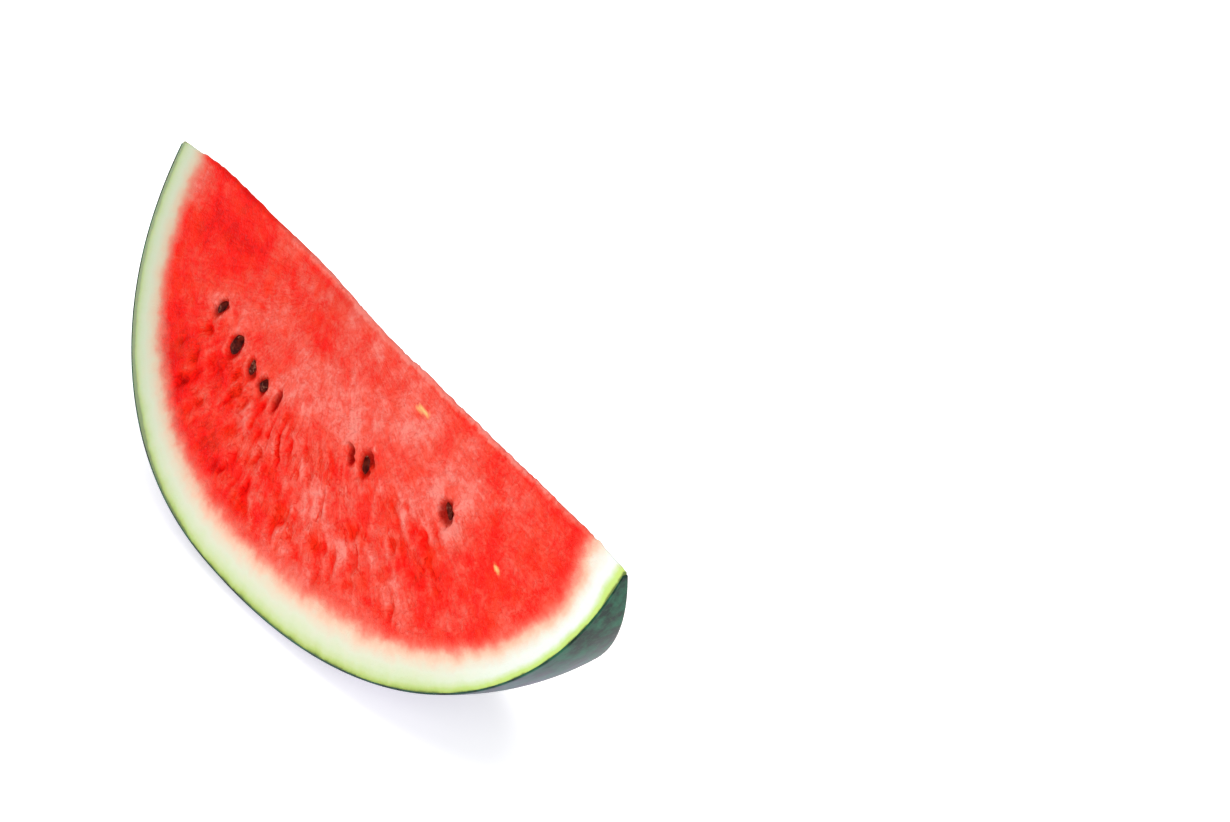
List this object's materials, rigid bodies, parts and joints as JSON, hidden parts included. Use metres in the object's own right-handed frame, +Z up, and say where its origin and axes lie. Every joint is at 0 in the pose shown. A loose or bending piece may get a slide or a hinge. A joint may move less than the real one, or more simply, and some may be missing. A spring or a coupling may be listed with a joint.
{
  "type": "watermelon wedge",
  "caption": "Uneaten wedge of red watermelon with its dark green rind, cut lengthwise and standing on the rind.",
  "frame": {"origin": "middle of the small flat spot under the rind that the wedge stands on", "axes": "+X along the melon's long axis towards the slimmer stem end, +Y across the wedge, +Z up"},
  "size_m": [0.2736, 0.0692, 0.1181],
  "materials": {
    "flesh": "moist red fruit flesh that pales to a white and lime rind edge",
    "skin": "smooth waxy dark green skin with darker mottled bands",
    "seeds": "wet dark brown seed coat"
  },
  "bodies": {
    "root": {"wedge": "flesh"}
  },
  "joints": []
}
